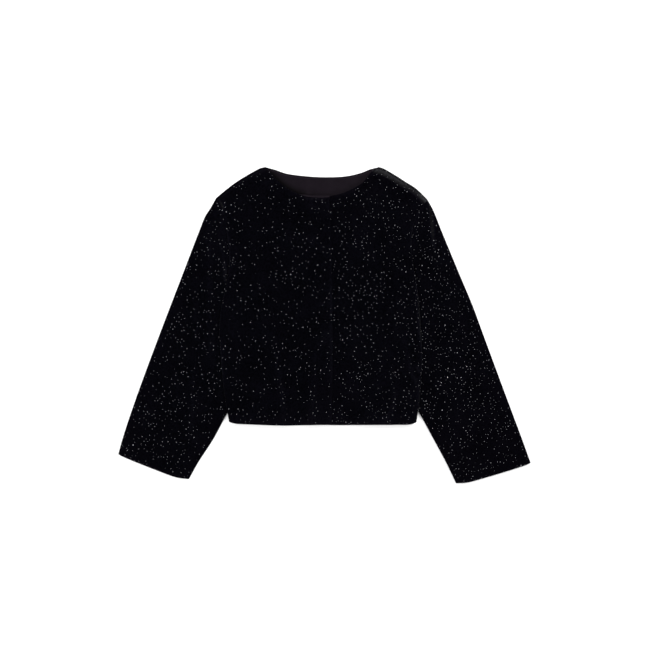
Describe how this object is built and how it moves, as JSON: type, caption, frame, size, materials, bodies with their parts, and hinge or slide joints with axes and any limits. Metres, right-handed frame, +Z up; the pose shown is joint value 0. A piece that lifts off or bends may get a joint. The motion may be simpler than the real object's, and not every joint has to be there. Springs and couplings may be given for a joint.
{
  "type": "cropped collarless velvet jacket",
  "caption": "Short, boxy, collarless jacket with long set-in sleeves and a hidden front closure, laid flat on its back.",
  "frame": {"origin": "on the surface, under the middle of the jacket as it lies", "axes": "+X across the front towards the wearer's left sleeve, +Y towards the neck, +Z up out of the front"},
  "size_m": [0.66, 0.506, 0.0123],
  "materials": {
    "velvet_back": "black velvet with scattered silver glitter",
    "velvet_front_left": "black velvet with scattered silver glitter",
    "velvet_front_right": "black velvet with scattered silver glitter",
    "velvet_sleeve_left": "black velvet with scattered silver glitter",
    "velvet_sleeve_right": "black velvet with scattered silver glitter",
    "lining": "dark mauve-brown smooth lining cloth",
    "glitter": "silver glitter flakes"
  },
  "bodies": {
    "root": {"back": "velvet_back", "back_neck_facing": "lining", "front_left": "velvet_front_left", "front_right": "velvet_front_right", "sleeve_left": "velvet_sleeve_left", "sleeve_right": "velvet_sleeve_right"}
  },
  "joints": []
}
